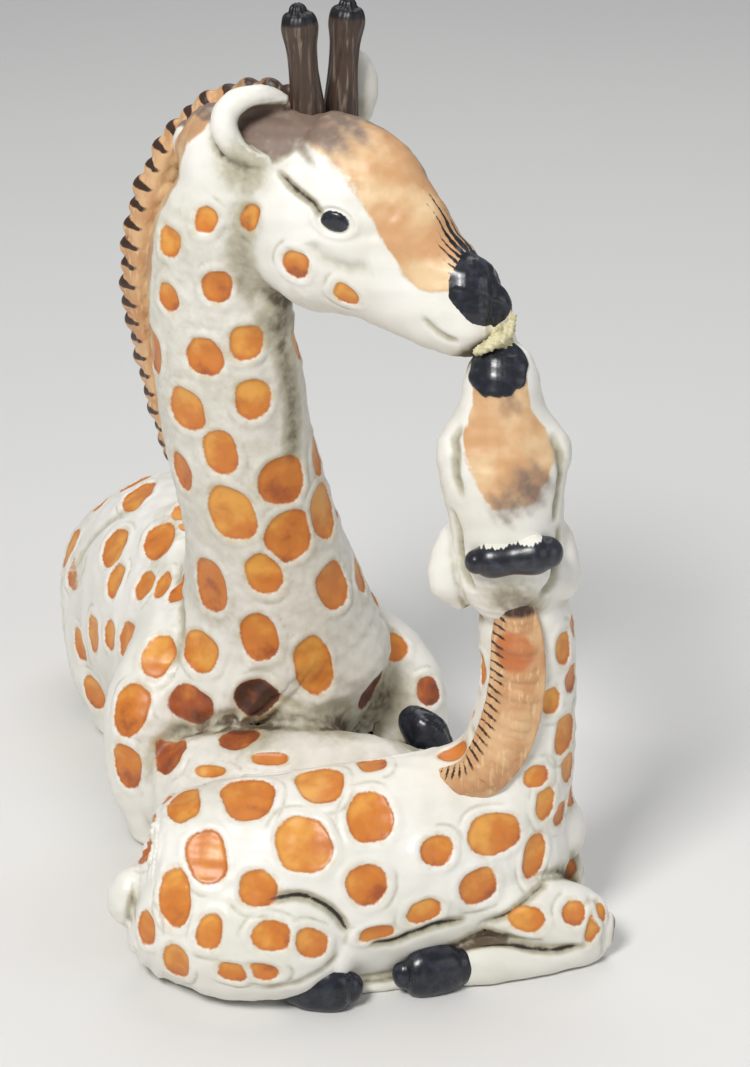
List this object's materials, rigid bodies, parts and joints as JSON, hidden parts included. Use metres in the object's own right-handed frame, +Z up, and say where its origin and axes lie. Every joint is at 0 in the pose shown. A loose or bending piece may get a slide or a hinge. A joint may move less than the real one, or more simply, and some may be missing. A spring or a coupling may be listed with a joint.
{
  "type": "giraffe figurine",
  "caption": "Free-standing glazed ceramic figurine of a reclining giraffe leaning down to touch noses with a calf lying against its folded forelegs",
  "frame": {"origin": "on the flat base under the calf's body, at the height the figurine rests on", "axes": "+Z up, the front of the group faces -Y, +X to the right as seen from the front; the larger giraffe's body runs back along +Y"},
  "size_m": [0.1512, 0.2225, 0.2362],
  "materials": {
    "cream_glaze": "satin off-white glaze with hand-painted caramel spots and a grey-brown wash in the recesses",
    "brown_glaze": "satin dark brown glaze with light dry-brushed streaks and a black knob",
    "tan_glaze": "satin tan glaze with dark brown strokes in the notches",
    "black_glaze": "gloss black glaze",
    "join_slip": "rough off-white slip or cement, unglazed"
  },
  "bodies": {
    "root": {"mother_torso": "cream_glaze", "mother_neck": "cream_glaze", "mother_head": "cream_glaze", "mother_right_ear": "cream_glaze", "mother_left_ear": "cream_glaze", "mother_right_horn": "brown_glaze", "mother_left_horn": "brown_glaze", "mother_mane": "tan_glaze", "mother_tail": "cream_glaze", "mother_right_foreleg": "cream_glaze", "mother_left_foreleg": "cream_glaze", "mother_fore_hoof": "black_glaze", "mother_lap": "cream_glaze", "mother_right_hind_leg": "cream_glaze", "mother_left_hind_leg": "cream_glaze", "calf_torso": "cream_glaze", "calf_neck": "cream_glaze", "calf_head": "cream_glaze", "calf_right_ear": "cream_glaze", "calf_left_ear": "cream_glaze", "calf_horns": "black_glaze", "calf_mane": "tan_glaze", "calf_tail": "cream_glaze", "calf_right_foreleg": "cream_glaze", "calf_left_foreleg": "cream_glaze", "calf_right_hind_leg": "cream_glaze", "calf_fore_hoof": "black_glaze", "calf_hind_hoof": "black_glaze", "calf_pad": "cream_glaze", "nose_join": "join_slip"}
  },
  "joints": []
}
